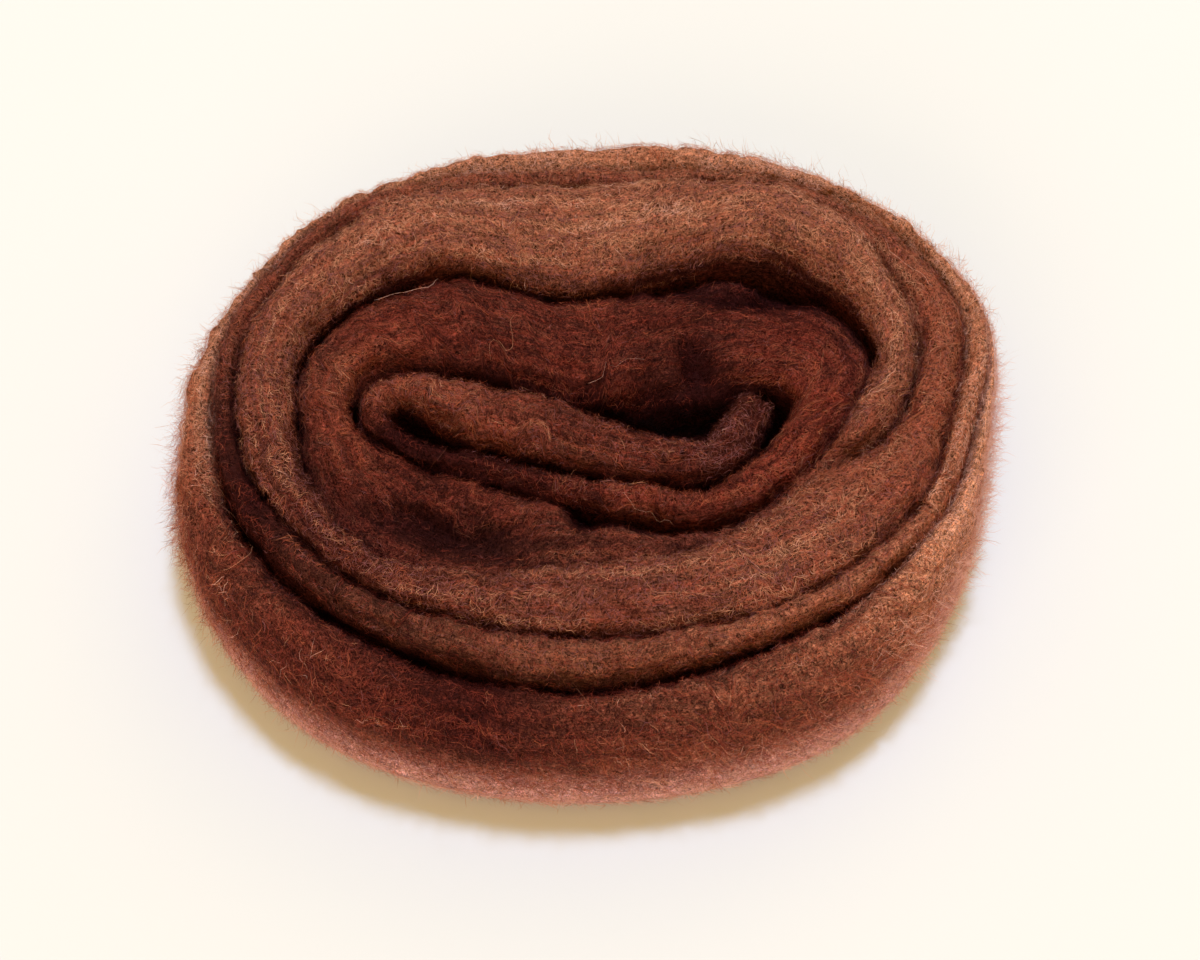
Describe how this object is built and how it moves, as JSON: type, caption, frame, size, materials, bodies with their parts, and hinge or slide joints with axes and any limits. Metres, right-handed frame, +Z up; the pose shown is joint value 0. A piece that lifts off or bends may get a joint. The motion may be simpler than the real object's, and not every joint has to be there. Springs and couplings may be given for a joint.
{
  "type": "wool roving",
  "caption": "Chestnut wool roving wound on edge into a flat oval cake, with its core folded in a hook at the middle.",
  "frame": {"origin": "middle of the cake's plan, on the surface it rests on", "axes": "+X along the long way of the oval, +Y away from the viewer, +Z up along the wound turns' width"},
  "size_m": [0.1174, 0.099, 0.0301],
  "materials": {
    "heathered_wool": "soft matt carded wool, heathered in chestnut, rust and dusky brown"
  },
  "bodies": {
    "root": {"roving_coil": "heathered_wool"}
  },
  "joints": []
}
